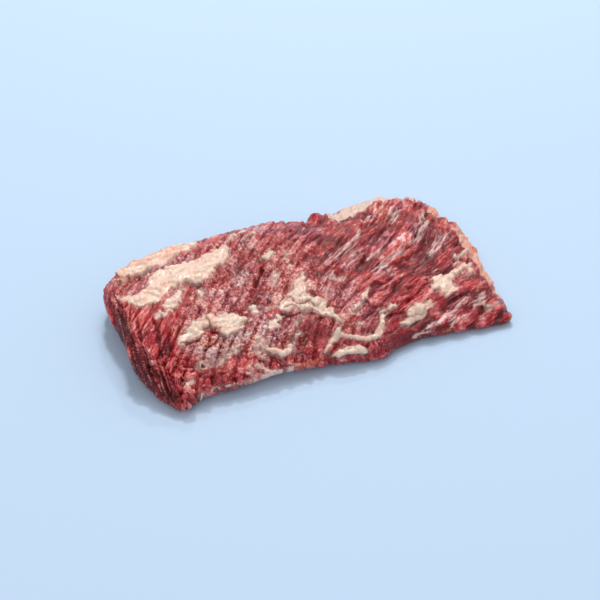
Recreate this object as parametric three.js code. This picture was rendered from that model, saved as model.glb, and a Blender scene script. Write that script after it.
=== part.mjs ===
// A raw beef steak of the long, loose-grained kind that is cut from the flank.
// It is one piece of muscle: a slab lying flat, thick at the left end and thin at the right,
// with bundles of fibres fanning across it, torn edges, and fat left on it in patches.
// Lengths are in millimetres. +X runs along the slab, +Y to its back edge, and +Z is up.

import * as THREE from "three";

// Thickness of the slab at the four corners of its upper face, and how far it swells between them
const THICKNESS = { frontLeft: 15, frontRight: 8, backRight: 13, backLeft: 25 };
const SWELL_ACROSS = { left: 9, right: 3 };
const SWELL_ALONG = 4;
const SWELL_BOTH = 2;

// The thin flank at the back, where the muscle stops short and leaves its cover of fat lying bare
const BARE_FLANK = { at: 0.72, halfWidth: 0.13, drop: 6 };

// Edge of the slab seen from above, side by side round the loop.
// x, y, inset of the shoulder, lip of fat from 0 to 1, lift off the table, height of the widest point
const EDGE = {
  front: [
    [-90, -51.5, 9, 0, 0, 5],
    [-72, -48, 10, 0, 1, 5],
    [-58, -49, 11, 0.1, 1.5, 5],
    [-34, -49, 12, 0.2, 4, 5],
    [0, -51, 11, 0.2, 1, 5],
    [17, -54, 12, 0.3, 0, 5],
    [27.5, -54.5, 10, 0, 0, 5],
    [37, -50.5, 10, 0, 0, 5],
    [60, -49, 11, 0, 0, 5],
  ],
  right: [
    [94, -53, 10, 0.3, 0, 4],
    [106, -52, 8, 0.5, 0, 4],
    [108, -38, 8, 0.6, 0, 4],
    [112, -14, 9, 0.9, 0, 4],
    [116.5, 12, 10, 1, 0, 5],
    [117, 32, 8, 0.6, 0, 5],
    [110, 44, 8, 0.8, 0, 5],
    [111, 57, 9, 0.6, 0, 6],
  ],
  back: [
    [101, 69, 10, 0.6, 0, 7],
    [78, 76, 13, 0.8, 0, 8],
    [51, 73, 18, 1, 0, 9],
    [37, 68, 10, 0.4, 0, 6],
    [5, 69, 9, 0.2, 0, 5],
    [-50, 65, 9, 0.2, 0, 5],
    [-80, 59, 8, 0.1, 0, 5],
  ],
  left: [
    [-101.5, 46, 6, 0, 0, 12],
    [-106.5, 26, 5, 0, 0, 14],
    [-104.5, 2, 5, 0, 0, 12],
    [-105.5, -13, 5, 0, 0, 9],
    [-101.5, -30, 6, 0, 0, 7],
  ],
};

// The edge turns in under the slab by this much, and the flat sole is this share of the upper face
const FOOT_INSET = 3;
const FOOT_INSET_PER_BELLY = 0.3;
const SOLE_SHARE = 0.95;
const UNDER_ROWS = 2;

// Profile of the wall: how full its curve is, the angle at which it leaves the upper face,
// how much a lip of fat draws it in, and the share of its height where the lip starts
const WALL = { roundness: 2.3, startAngle: 24, lipShare: 0.65, lipFrom: 0.45 };

// Slope of the fibres across the slab: steep at the left, easing to shallow at the right,
// where they fan out, steeper towards the back by this much for each millimetre
const GRAIN = { leftSlope: 1.25, rightSlope: 0.5, turnFrom: -25, turnTo: 50, fan: 0.0055, axis: 37 };

// Bundles of fibres: length and width of one, depth of the groove between two, uneven height
const BUNDLE = { length: 45, width: 9, groove: 1.5, uneven: 1.1, grooveShare: 0.34 };
const WANDER = { amount: 2.2, along: 34, across: 13 };
const HUMMOCK = { height: 0.9, size: 24 };

// The back left edge was pressed smooth: where across the slab that begins and is full,
// where along it that ends, and by what share the bundles are flattened
const BACK_PRESSED = { from: 48, to: 58, left: 10, right: 30, share: 0.7 };

// Down a cut wall the bundles lean towards the front, most of all on the left wall
const WALL_LEAN = { left: 1.3, elsewhere: 0.4, breakUp: 1.1 };

// The relief deepens by this share between two depths down the wall, and calms towards the table
const WALL_RELIEF = { deeper: 0.6, from: 2, to: 8, calmLow: 0.5 };

// Fat left on the slab, each pad a height and the points x, y, half-width that it runs through
const FAT_EDGE = 1.6;
const FAT_CALM = 0.75;
const FAT_PADS = [
  { height: 1.7, path: [[-98, 17, 2.5], [-88, 12, 5], [-79, 16, 7], [-64, 25, 10], [-46, 30, 7], [-37, 38, 5]] },
  { height: 2.2, path: [[-92, 37, 5], [-84, 43, 6], [-74, 48, 5], [-62, 53, 4], [-50, 55, 3]] },
  { height: 1.2, path: [[-77, -22, 4], [-71, -19, 5], [-64, -16, 5], [-58, -12, 3]] },
  { height: 1.4, path: [[-58, -14, 3], [-54, -18, 5.5], [-47, -21, 5], [-41, -22, 2.5]] },
  { height: 1.2, path: [[-18, -20, 3.5], [-10, -16, 5.5], [-4, -11, 6], [-3, -4, 3]] },
  { height: 1.1, path: [[-4, -17, 5], [6, -24, 4.5], [14, -34, 1.5]] },
  { height: 1.2, path: [[-38, -36, 1.4], [-33, -40, 1.6], [-24, -41, 1.4]] },
  { height: 1.3, path: [[2, -41, 1.4], [13, -44, 2], [25, -46, 2.6], [29, -37, 1.5]] },
  { height: 1.5, path: [[-4, -49, 1.5], [2, -50, 2.4], [15, -51, 2.5]] },
  { height: 1.5, path: [[73, -25, 3.5], [77, -21, 3.5], [85, -16, 1.8], [94, -12, 2.2], [100, -14, 1.4]] },
  { height: 1.2, path: [[43, -42, 1.5], [50, -40, 3], [57, -37, 3], [63, -33, 1.4]] },
];

// A knob of muscle that stands on the back edge
const KNOBS = [{ height: 5.5, path: [[35, 64, 4.5], [43, 67, 4.5]] }];

// Furrows where bundles part or a flap lies over: depth, width, and the points they run through
const FURROWS = [
  { depth: 2.2, width: 3.2, path: [[-62, 14], [-72, -2], [-82, -10], [-88, -27]] },
  { depth: 1.6, width: 1.6, path: [[-62, -14], [-61, -22], [-57, -25]] },
  { depth: 1.6, width: 2.8, path: [[-20, 16], [-20, 9], [-29, -2]] },
  { depth: 2.0, width: 3.2, path: [[99, 25], [83, 11], [66, 0], [46, -11]] },
  { depth: 2.2, width: 2.4, path: [[-98, 33], [-89, 30], [-78, 37], [-64, 43]] },
];

// Spacing of the surface: cells along and across the upper face, and rows down the wall
const CELLS_ALONG = 76;
const CELLS_ACROSS = 40;
const WALL_ROWS = 6;
const EVEN_OUT_ROUNDS = 30;
const STEPS_PER_SIDE = 400;
const NEIGHBOURS_FOR_TANGENT = 4;

// Colour and finish of wet raw beef
const BEEF = { color: 0x8f3a42, roughness: 0.35, metalness: 0 };

// Seeds of the scattered patterns
const SEED = { bundles: 3, wander: 11, hummocks: 17 };

// Plain maths

function mix(a, b, share) {
  return a + (b - a) * share;
}

function smoothStep(from, to, value) {
  const share = Math.min(1, Math.max(0, (value - from) / (to - from)));
  return share * share * (3 - 2 * share);
}

// A fixed scatter: the same whole numbers always give the same value from 0 to 1
function scatter(i, j, seed) {
  const wave = Math.sin(i * 127.1 + j * 311.7 + seed * 74.7) * 43758.5453;
  return wave - Math.floor(wave);
}

// Smooth unevenness from -1 to 1 with one bump or hollow for each unit of x and y
function unevenness(x, y, seed) {
  const i = Math.floor(x);
  const j = Math.floor(y);
  const across = smoothStep(0, 1, x - i);
  const up = smoothStep(0, 1, y - j);
  const low = mix(scatter(i, j, seed), scatter(i + 1, j, seed), across);
  const high = mix(scatter(i, j + 1, seed), scatter(i + 1, j + 1, seed), across);
  return 2 * mix(low, high, up) - 1;
}

// Cells round scattered centres: how far a point is from the border of its cell, and the cell's own value
function cell(x, y, seed) {
  const column = Math.floor(x);
  const row = Math.floor(y);
  let nearest = Infinity;
  let next = Infinity;
  let own = 0;
  for (let i = column - 1; i <= column + 1; i += 1) {
    for (let j = row - 1; j <= row + 1; j += 1) {
      const dx = i + scatter(i, j, seed) - x;
      const dy = j + scatter(i, j, seed + 1) - y;
      const distance = Math.hypot(dx, dy);
      if (distance < nearest) {
        next = nearest;
        nearest = distance;
        own = scatter(i, j, seed + 2);
      } else if (distance < next) {
        next = distance;
      }
    }
  }
  return { border: next - nearest, own };
}

// Distance from a point to a path, less the half-width that the path has there
function distanceToPath(path, x, y) {
  let best = Infinity;
  for (let k = 1; k < path.length; k += 1) {
    const [ax, ay, aWidth = 0] = path[k - 1];
    const [bx, by, bWidth = 0] = path[k];
    const dx = bx - ax;
    const dy = by - ay;
    const along = ((x - ax) * dx + (y - ay) * dy) / (dx * dx + dy * dy);
    const share = Math.min(1, Math.max(0, along));
    const gap = Math.hypot(x - mix(ax, bx, share), y - mix(ay, by, share));
    best = Math.min(best, gap - mix(aWidth, bWidth, share));
  }
  return best;
}

// Grain of the meat

// Length over which the fibres have turned on the way to x: the running total of an eased share
function turnedLength(x) {
  const { turnFrom, turnTo } = GRAIN;
  const reach = turnTo - turnFrom;
  const share = Math.min(1, Math.max(0, (x - turnFrom) / reach));
  const past = Math.max(0, x - turnTo);
  return reach * (share ** 3 - share ** 4 / 2) + past;
}

// How far along its bundle a point is, and how far across the bundles
function grainAt(x, y) {
  const axis = THREE.MathUtils.degToRad(GRAIN.axis);
  const along = x * Math.cos(axis) + y * Math.sin(axis);
  const turned = turnedLength(x);
  const rise = GRAIN.leftSlope * x - (GRAIN.leftSlope - GRAIN.rightSlope) * turned;
  const across = y * Math.exp(-GRAIN.fan * turned) - rise;
  const wander = unevenness(along / WANDER.along, across / WANDER.across, SEED.wander);
  return { along, across: across + WANDER.amount * wander };
}

// Relief of the surface in millimetres, outwards, at a point of the plan and a depth down the wall
function relief(x, y, depth) {
  const { along, across } = grainAt(x, y);
  const u = (along + WALL_LEAN.breakUp * depth) / BUNDLE.length;
  const bundle = cell(u, across / BUNDLE.width, SEED.bundles);
  const onWall = 1 + WALL_RELIEF.deeper * smoothStep(WALL_RELIEF.from, WALL_RELIEF.to, depth);
  const groove = -BUNDLE.groove * (1 - smoothStep(0, BUNDLE.grooveShare, bundle.border));
  const pressed = smoothStep(BACK_PRESSED.from, BACK_PRESSED.to, y) * smoothStep(BACK_PRESSED.right, BACK_PRESSED.left, x);
  let muscle = (groove + BUNDLE.uneven * (bundle.own - 0.5)) * onWall * (1 - BACK_PRESSED.share * pressed);
  muscle += HUMMOCK.height * unevenness(x / HUMMOCK.size, y / HUMMOCK.size, SEED.hummocks);
  for (const { depth: furrowDepth, width, path } of FURROWS) {
    const gap = distanceToPath(path, x, y) / width;
    muscle -= furrowDepth * Math.exp(-gap * gap);
  }
  for (const { height, path } of KNOBS) {
    muscle += height * smoothStep(FAT_EDGE, -2 * FAT_EDGE, distanceToPath(path, x, y));
  }
  let fat = 0;
  let cover = 0;
  for (const { height, path } of FAT_PADS) {
    const inside = smoothStep(FAT_EDGE / 2, -FAT_EDGE, distanceToPath(path, x, y));
    fat = Math.max(fat, height * inside);
    cover = Math.max(cover, inside);
  }
  return muscle * (1 - FAT_CALM * cover) + fat;
}

// Outline and thickness of the slab

const SIDES = [EDGE.front, EDGE.right, EDGE.back, EDGE.left];
const STATIONS = SIDES.flat();

// A smooth closed curve through all stations, carrying every column of the table with it
function edgePoint(place) {
  const count = STATIONS.length;
  const k = Math.floor(place);
  const f = place - k;
  const before = STATIONS[(k - 1 + count) % count];
  const from = STATIONS[k % count];
  const to = STATIONS[(k + 1) % count];
  const after = STATIONS[(k + 2) % count];
  return from.map((b, column) => {
    const a = before[column];
    const c = to[column];
    const d = after[column];
    const bend = 2 * a - 5 * b + 4 * c - d + f * (3 * (b - c) + d - a);
    return b + 0.5 * f * (c - a + f * bend);
  });
}

// Points spread evenly by length along one side of the edge, the last corner left to the next side
function sidePoints(firstStation, stationCount, pointCount) {
  const fine = [];
  const travelled = [0];
  for (let k = 0; k <= STEPS_PER_SIDE; k += 1) {
    fine.push(edgePoint(firstStation + (stationCount * k) / STEPS_PER_SIDE));
    if (k > 0) {
      const step = Math.hypot(fine[k][0] - fine[k - 1][0], fine[k][1] - fine[k - 1][1]);
      travelled.push(travelled[k - 1] + step);
    }
  }
  const points = [];
  let k = 0;
  for (let n = 0; n < pointCount; n += 1) {
    const wanted = (travelled[STEPS_PER_SIDE] * n) / pointCount;
    while (travelled[k + 1] < wanted) {
      k += 1;
    }
    const share = (wanted - travelled[k]) / (travelled[k + 1] - travelled[k]);
    points.push(fine[k].map((value, column) => mix(value, fine[k + 1][column], share)));
  }
  return points;
}

// The whole loop of the edge as records, each with its outward direction in plan
function edgeLoop() {
  const counts = [CELLS_ALONG, CELLS_ACROSS, CELLS_ALONG, CELLS_ACROSS];
  const loop = [];
  let first = 0;
  SIDES.forEach((side, k) => {
    for (const [x, y, inset, lip, lift, belly] of sidePoints(first, side.length, counts[k])) {
      const lean = side === EDGE.left ? WALL_LEAN.left : WALL_LEAN.elsewhere;
      loop.push({ x, y, inset, lip: Math.min(1, Math.max(0, lip)), lift: Math.max(0, lift), belly, lean });
    }
    first += side.length;
  });
  const size = loop.length;
  loop.forEach((point, k) => {
    const ahead = loop[(k + NEIGHBOURS_FOR_TANGENT) % size];
    const behind = loop[(k - NEIGHBOURS_FOR_TANGENT + size) % size];
    const length = Math.hypot(ahead.x - behind.x, ahead.y - behind.y);
    point.alongX = (ahead.x - behind.x) / length;
    point.alongY = (ahead.y - behind.y) / length;
  });
  return loop;
}

// A point of the loop moved in from the edge by a distance
function inwards(point, distance) {
  return [point.x - point.alongY * distance, point.y + point.alongX * distance];
}

// Thickness at a share s of the length and t of the width
function thickness(s, t) {
  const front = mix(THICKNESS.frontLeft, THICKNESS.frontRight, s);
  const back = mix(THICKNESS.backLeft, THICKNESS.backRight, s);
  const acrossSwell = 4 * t * (1 - t);
  const alongSwell = 4 * s * (1 - s);
  const offFlank = (s - BARE_FLANK.at) / BARE_FLANK.halfWidth;
  const flank = BARE_FLANK.drop * Math.exp(-offFlank * offFlank) * t ** 4;
  const swell = acrossSwell * mix(SWELL_ACROSS.left, SWELL_ACROSS.right, s);
  return mix(front, back, t) + swell + alongSwell * (SWELL_ALONG + SWELL_BOTH * acrossSwell) - flank;
}

// Surface of the steak

// Which cell corner of the upper face each point of the loop meets
function faceBorder() {
  const border = [];
  for (let i = 0; i < CELLS_ALONG; i += 1) {
    border.push([i, 0]);
  }
  for (let j = 0; j < CELLS_ACROSS; j += 1) {
    border.push([CELLS_ALONG, j]);
  }
  for (let i = CELLS_ALONG; i > 0; i -= 1) {
    border.push([i, CELLS_ACROSS]);
  }
  for (let j = CELLS_ACROSS; j > 0; j -= 1) {
    border.push([0, j]);
  }
  return border;
}

// The upper face: the four shoulders blended across the slab, at the thickness of each place
function upperFace(crown) {
  const front = (i) => crown[i];
  const right = (j) => crown[CELLS_ALONG + j];
  const back = (i) => crown[2 * CELLS_ALONG + CELLS_ACROSS - i];
  const left = (j) => crown[(2 * (CELLS_ALONG + CELLS_ACROSS) - j) % crown.length];
  const points = [];
  for (let i = 0; i <= CELLS_ALONG; i += 1) {
    for (let j = 0; j <= CELLS_ACROSS; j += 1) {
      const s = i / CELLS_ALONG;
      const t = j / CELLS_ACROSS;
      const [x, y] = [0, 1].map((k) => {
        const acrossBlend = mix(front(i)[k], back(i)[k], t);
        const alongBlend = mix(left(j)[k], right(j)[k], s);
        const nearCorners = mix(front(0)[k], front(CELLS_ALONG)[k], s);
        const farCorners = mix(back(0)[k], back(CELLS_ALONG)[k], s);
        return acrossBlend + alongBlend - mix(nearCorners, farCorners, t);
      });
      points.push({ x, y, z: thickness(s, t) });
    }
  }
  evenOut(points);
  return points.map((point) => ({ ...point, push: relief(point.x, point.y, 0) }));
}

// Moves each inner point to the middle of its four neighbours in plan, round after round,
// so that no cell is folded over at a rounded corner
function evenOut(points) {
  const row = CELLS_ACROSS + 1;
  for (let round = 0; round < EVEN_OUT_ROUNDS; round += 1) {
    const from = points.map(({ x, y }) => ({ x, y }));
    for (let i = 1; i < CELLS_ALONG; i += 1) {
      for (let j = 1; j < CELLS_ACROSS; j += 1) {
        const k = i * row + j;
        for (const axis of ["x", "y"]) {
          const sum = from[k - row][axis] + from[k + row][axis] + from[k - 1][axis] + from[k + 1][axis];
          points[k][axis] = sum / 4;
        }
      }
    }
  }
}

// One row of the wall, at a share w of the way from the shoulder down to the widest point
function wallRow(loop, crown, crownHeight, w) {
  const start = THREE.MathUtils.degToRad(WALL.startAngle);
  const turn = mix(start, Math.PI / 2, w);
  const power = 2 / WALL.roundness;
  const startOut = Math.sin(start) ** power;
  const out = (Math.sin(turn) ** power - startOut) / (1 - startOut);
  const up = w === 1 ? 0 : (Math.cos(turn) / Math.cos(start)) ** power;
  const boot = mix(out, smoothStep(WALL.lipFrom, 1, w), WALL.lipShare);
  return loop.map((point, k) => {
    const share = mix(out, boot, point.lip);
    const x = mix(crown[k][0], point.x, share);
    const y = mix(crown[k][1], point.y, share);
    const low = point.belly + point.lift;
    const z = mix(low, crownHeight[k], up);
    const depth = crownHeight[k] - z;
    const fromX = x - point.alongX * point.lean * depth;
    const fromY = y - point.alongY * point.lean * depth;
    return { x, y, z, push: relief(fromX, fromY, depth) * (1 - WALL_RELIEF.calmLow * w ** 4) };
  });
}

// The rows under the widest point, which round in to the foot, and then the rim of the flat sole
function underRows(loop, crown) {
  const middle = [0, 1].map((k) => crown.reduce((sum, point) => sum + point[k], 0) / crown.length);
  const rounded = [];
  for (let row = 1; row <= UNDER_ROWS; row += 1) {
    const turn = (row / UNDER_ROWS) * (Math.PI / 2);
    rounded.push(
      loop.map((point) => {
        const inset = FOOT_INSET + FOOT_INSET_PER_BELLY * point.belly;
        const [x, y] = inwards(point, inset * (1 - Math.cos(turn)));
        return { x, y, z: point.lift + point.belly * (1 - Math.sin(turn)), push: 0 };
      }),
    );
  }
  const sole = crown.map((point) => {
    const [x, y] = point.map((value, k) => mix(middle[k], value, SOLE_SHARE));
    return { x, y, z: 0, push: 0 };
  });
  return [...rounded, sole];
}

// The closed skin: upper face, wall and under rows, and the flat sole
function steakGeometry() {
  const loop = edgeLoop();
  const size = loop.length;
  const border = faceBorder();
  const crown = loop.map((point) => inwards(point, point.inset));
  const faceIndex = ([i, j]) => i * (CELLS_ACROSS + 1) + j;
  const points = upperFace(crown);
  const crownHeight = border.map((place) => points[faceIndex(place)].z);
  const triangles = [];
  const addQuad = (a, b, c, d) => triangles.push(a, b, c, a, c, d);

  for (let i = 0; i < CELLS_ALONG; i += 1) {
    for (let j = 0; j < CELLS_ACROSS; j += 1) {
      addQuad(faceIndex([i, j]), faceIndex([i + 1, j]), faceIndex([i + 1, j + 1]), faceIndex([i, j + 1]));
    }
  }

  let above = border.map(faceIndex);
  const rows = [];
  for (let k = 1; k <= WALL_ROWS; k += 1) {
    rows.push(wallRow(loop, crown, crownHeight, k / WALL_ROWS));
  }
  rows.push(...underRows(loop, crown));
  for (const row of rows) {
    const below = row.map((_, k) => points.length + k);
    points.push(...row);
    for (let k = 0; k < size; k += 1) {
      const next = (k + 1) % size;
      addQuad(above[k], below[k], below[next], above[next]);
    }
    above = below;
  }

  const sole = above.map((k) => new THREE.Vector2(points[k].x, points[k].y));
  for (const [a, b, c] of THREE.ShapeUtils.triangulateShape(sole, [])) {
    triangles.push(above[a], above[c], above[b]);
  }

  const geometry = new THREE.BufferGeometry();
  const places = points.flatMap(({ x, y, z }) => [x, y, z]);
  geometry.setAttribute("position", new THREE.Float32BufferAttribute(places, 3));
  geometry.setIndex(triangles);
  geometry.computeVertexNormals();
  pushOut(geometry, points);
  settle(geometry);
  geometry.computeVertexNormals();
  return geometry;
}

// Moves each point outwards along the smooth skin by its relief, never below where its row lies
function pushOut(geometry, points) {
  const { position, normal } = geometry.attributes;
  points.forEach(({ x, y, z, push }, k) => {
    const height = z + normal.getZ(k) * push;
    position.setXYZ(k, x + normal.getX(k) * push, y + normal.getY(k) * push, Math.max(0, height));
  });
}

// Centres the steak over the origin, with its sole on z = 0
function settle(geometry) {
  geometry.computeBoundingBox();
  const { min, max } = geometry.boundingBox;
  geometry.translate(-(min.x + max.x) / 2, -(min.y + max.y) / 2, -min.z);
}

// The steak

function makeSteak() {
  const steak = new THREE.Mesh(steakGeometry(), new THREE.MeshStandardMaterial(BEEF));
  steak.name = "steak";
  return steak;
}

const group = new THREE.Group();
group.add(makeSteak());

export default group;
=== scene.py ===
import math

import bpy
import numpy as np
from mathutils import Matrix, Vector


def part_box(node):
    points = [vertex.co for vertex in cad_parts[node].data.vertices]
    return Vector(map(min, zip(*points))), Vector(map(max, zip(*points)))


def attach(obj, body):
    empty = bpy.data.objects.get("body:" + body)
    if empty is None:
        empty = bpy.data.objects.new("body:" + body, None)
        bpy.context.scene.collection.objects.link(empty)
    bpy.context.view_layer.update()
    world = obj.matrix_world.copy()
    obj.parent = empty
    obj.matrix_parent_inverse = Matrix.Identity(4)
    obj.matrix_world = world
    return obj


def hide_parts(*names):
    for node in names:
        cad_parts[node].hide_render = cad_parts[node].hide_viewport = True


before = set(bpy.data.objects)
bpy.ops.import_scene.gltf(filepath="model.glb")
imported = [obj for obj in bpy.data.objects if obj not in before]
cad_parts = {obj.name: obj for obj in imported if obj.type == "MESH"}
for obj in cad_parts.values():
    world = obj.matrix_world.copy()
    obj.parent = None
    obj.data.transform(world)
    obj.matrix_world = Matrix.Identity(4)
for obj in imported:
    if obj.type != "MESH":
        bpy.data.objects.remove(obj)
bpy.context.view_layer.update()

# The slab
# One piece of flank muscle, cut by hand and laid flat: thick at the left end, thin at the right.
# Its edge is torn and uneven, it stands clear of the table at the front, and it turns in under itself
# to a flat sole. Sizes are in millimetres.

MILLIMETRE = 0.001

THICKNESS = {"front_left": 15, "front_right": 8, "back_right": 13, "back_left": 25}
SWELL_ACROSS = {"left": 9, "right": 3}
SWELL_ALONG = 4
SWELL_BOTH = 2
BARE_FLANK = {"at": 0.72, "half_width": 0.13, "drop": 6}

# x, y, inset of the shoulder, lip of fat from 0 to 1, lift off the table, height of the widest point
EDGE = {
    "front": [
        (-90, -51.5, 9, 0, 0, 5),
        (-72, -48, 10, 0, 1, 5),
        (-58, -49, 11, 0.1, 1.5, 5),
        (-34, -49, 12, 0.2, 4, 5),
        (0, -51, 11, 0.2, 1, 5),
        (17, -54, 12, 0.3, 0, 5),
        (27.5, -54.5, 10, 0, 0, 5),
        (37, -50.5, 10, 0, 0, 5),
        (60, -49, 11, 0, 0, 5),
    ],
    "right": [
        (94, -53, 10, 0.3, 0, 4),
        (106, -52, 8, 0.5, 0, 4),
        (108, -38, 8, 0.6, 0, 4),
        (112, -14, 9, 0.9, 0, 4),
        (116.5, 12, 10, 1, 0, 5),
        (117, 32, 8, 0.6, 0, 5),
        (110, 44, 8, 0.8, 0, 5),
        (111, 57, 9, 0.6, 0, 6),
    ],
    "back": [
        (101, 69, 10, 0.6, 0, 7),
        (78, 76, 13, 0.8, 0, 8),
        (51, 73, 18, 1, 0, 9),
        (37, 68, 10, 0.4, 0, 6),
        (5, 69, 9, 0.2, 0, 5),
        (-50, 65, 9, 0.2, 0, 5),
        (-80, 59, 8, 0.1, 0, 5),
    ],
    "left": [
        (-101.5, 46, 6, 0, 0, 12),
        (-106.5, 26, 5, 0, 0, 14),
        (-104.5, 2, 5, 0, 0, 12),
        (-105.5, -13, 5, 0, 0, 9),
        (-101.5, -30, 6, 0, 0, 7),
    ],
}
FOOT_INSET = 3
FOOT_INSET_PER_BELLY = 0.3
SOLE_SHARE = 0.95
WALL = {"roundness": 2.3, "start_angle": 24, "lip_share": 0.65, "lip_from": 0.45}
WALL_LEAN = {"left": 1.3, "elsewhere": 0.4, "break_up": 1.1}
SHEER = {"front": 0, "right": 1, "back": 1, "left": 1}
FOLD_OUT = {"sheer": 0.9, "front": 0.45}

CELLS_ALONG = 340
CELLS_ACROSS = 190
WALL_ROWS = 22
UNDER_ROWS = 3
EVEN_OUT_ROUNDS = 600
TANGENT_REACH = 18
STEPS_PER_SIDE = 400


def mix(a, b, share):
    """From a to b as share goes from 0 to 1: a + (b - a) share."""
    return a + (b - a) * share


def smooth_step(low, high, value):
    """0 below low and 1 above high, with the curve q q (3 - 2 q) between them."""
    q = np.clip((value - low) / (high - low), 0, 1)
    return q * q * (3 - 2 * q)


def edge_curve(place):
    """A smooth closed curve through all stations of the edge, column by column: between two stations the
    cubic whose slope at each is half of the step from the station before it to the one after it."""
    stations = np.array([station for side in EDGE.values() for station in side], float)
    k = np.floor(place).astype(int)
    f = (place - k)[:, None]
    a, b, c, d = (stations[(k + step) % len(stations)] for step in (-1, 0, 1, 2))
    bend = 2 * a - 5 * b + 4 * c - d + f * (3 * (b - c) + d - a)
    return b + 0.5 * f * (c - a + f * bend)


def edge_loop():
    """The stations spread evenly by length along each side in turn, and the unit direction along the loop."""
    loop, lean, sheer, first = [], [], [], 0
    for name, cells in zip(EDGE, (CELLS_ALONG, CELLS_ACROSS, CELLS_ALONG, CELLS_ACROSS)):
        fine = edge_curve(first + np.linspace(0, len(EDGE[name]), STEPS_PER_SIDE + 1) * (1 - 1e-12))
        steps = np.hypot(*np.diff(fine[:, :2], axis=0).T)
        travelled = np.concatenate([[0], np.cumsum(steps)])
        wanted = travelled[-1] * np.arange(cells) / cells
        loop.append(np.stack([np.interp(wanted, travelled, column) for column in fine.T], 1))
        lean.append(np.full(cells, WALL_LEAN["left" if name == "left" else "elsewhere"]))
        sheer.append(np.full(cells, SHEER[name]))
        first += len(EDGE[name])
    loop = np.concatenate(loop)
    along = np.roll(loop[:, :2], -TANGENT_REACH, 0) - np.roll(loop[:, :2], TANGENT_REACH, 0)
    along /= np.linalg.norm(along, axis=1)[:, None]
    return loop, along, np.concatenate(lean), np.concatenate(sheer)


def thickness(s, t):
    """Thickness at share s of the length and t of the width: the corners blended, plus swells 4 t (1 - t)."""
    front = mix(THICKNESS["front_left"], THICKNESS["front_right"], s)
    back = mix(THICKNESS["back_left"], THICKNESS["back_right"], s)
    across = 4 * t * (1 - t)
    along = 4 * s * (1 - s)
    off_flank = (s - BARE_FLANK["at"]) / BARE_FLANK["half_width"]
    flank = BARE_FLANK["drop"] * np.exp(-off_flank * off_flank) * t**4
    swell = across * mix(SWELL_ACROSS["left"], SWELL_ACROSS["right"], s)
    return mix(front, back, t) + swell + along * (SWELL_ALONG + SWELL_BOTH * across) - flank


def upper_face(crown):
    """The four shoulders blended across the slab, then each inner point moved to its neighbours' middle."""
    n, m = CELLS_ALONG, CELLS_ACROSS
    front, right = crown[: n + 1], crown[n : n + m + 1]
    back = crown[n + m : 2 * n + m + 1][::-1]
    left = np.concatenate([crown[2 * n + m :], crown[:1]])[::-1]
    s = np.linspace(0, 1, n + 1)[:, None, None]
    t = np.linspace(0, 1, m + 1)[None, :, None]
    corners = mix(mix(front[0], front[-1], s), mix(back[0], back[-1], s), t)
    plan = mix(front[:, None], back[:, None], t) + mix(left[None], right[None], s) - corners
    for _ in range(EVEN_OUT_ROUNDS):
        around = plan[:-2, 1:-1] + plan[2:, 1:-1] + plan[1:-1, :-2] + plan[1:-1, 2:]
        plan[1:-1, 1:-1] = around / 4
    return np.concatenate([plan, thickness(s, t)], axis=2)


def wall_rows(loop, crown, crown_height):
    """Rows down the wall: out by sin^p and down by cos^p of an angle, drawn in under a lip of fat."""
    start = math.radians(WALL["start_angle"])
    power = 2 / WALL["roundness"]
    start_out = math.sin(start) ** power
    low = loop[:, 5] + np.maximum(loop[:, 4], 0)
    lip = np.clip(loop[:, 3], 0, 1)[:, None]
    rows = []
    for share in np.arange(1, WALL_ROWS + 1) / WALL_ROWS:
        turn = mix(start, math.pi / 2, share)
        out = (math.sin(turn) ** power - start_out) / (1 - start_out)
        up = (max(0.0, math.cos(turn)) / math.cos(start)) ** power
        under_lip = mix(out, smooth_step(WALL["lip_from"], 1, share), WALL["lip_share"])
        plan = mix(crown, loop[:, :2], mix(out, under_lip, lip))
        rows.append(np.column_stack([plan, mix(low, crown_height, up)]))
    return np.stack(rows)


def under_rows(loop, along, crown):
    """Rows that round in under the widest point by a quarter turn, and last the rim of the flat sole."""
    outward = np.column_stack([along[:, 1], -along[:, 0]])
    belly, lift = loop[:, 5], np.maximum(loop[:, 4], 0)
    inset = FOOT_INSET + FOOT_INSET_PER_BELLY * belly
    rows = []
    for turn in np.arange(1, UNDER_ROWS + 1) / UNDER_ROWS * math.pi / 2:
        plan = loop[:, :2] - outward * (inset * (1 - math.cos(turn)))[:, None]
        rows.append(np.column_stack([plan, lift + belly * (1 - math.sin(turn))]))
    middle = crown.mean(0)
    rows.append(np.column_stack([mix(middle, crown, SOLE_SHARE), np.zeros(len(crown))]))
    return np.stack(rows)


loop, loop_along, loop_lean, loop_sheer = edge_loop()
loop_out = np.column_stack([loop_along[:, 1], -loop_along[:, 0]])
crown = loop[:, :2] - loop_out * loop[:, 2:3]
face = upper_face(crown)
n, m = CELLS_ALONG, CELLS_ACROSS
border = np.concatenate(
    [
        np.stack([np.arange(n), np.zeros(n, int)], 1),
        np.stack([np.full(m, n), np.arange(m)], 1),
        np.stack([np.arange(n, 0, -1), np.full(n, m)], 1),
        np.stack([np.zeros(m, int), np.arange(m, 0, -1)], 1),
    ]
)
crown_height = face[border[:, 0], border[:, 1], 2]
wall = wall_rows(loop, crown, crown_height)
under = under_rows(loop, loop_along, crown)

face_count = (n + 1) * (m + 1)
size = len(loop)
rows = np.concatenate([wall, under])
places = np.concatenate([face.reshape(-1, 3), rows.reshape(-1, 3)])

# Where each point reads the pattern of the meat: straight down on the face, and on the wall
# from the shoulder above it, carried forward along the edge so that the bundles lean as they go down
below_crown = np.clip(crown_height - rows[:, :, 2], 0, None)
depth = np.concatenate([np.zeros(face_count), below_crown.ravel()])
carried = loop_along[None] * (loop_lean * below_crown)[:, :, None]
reading = places[:, :2].copy()
reading[face_count:] -= carried.reshape(-1, 2)

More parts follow.
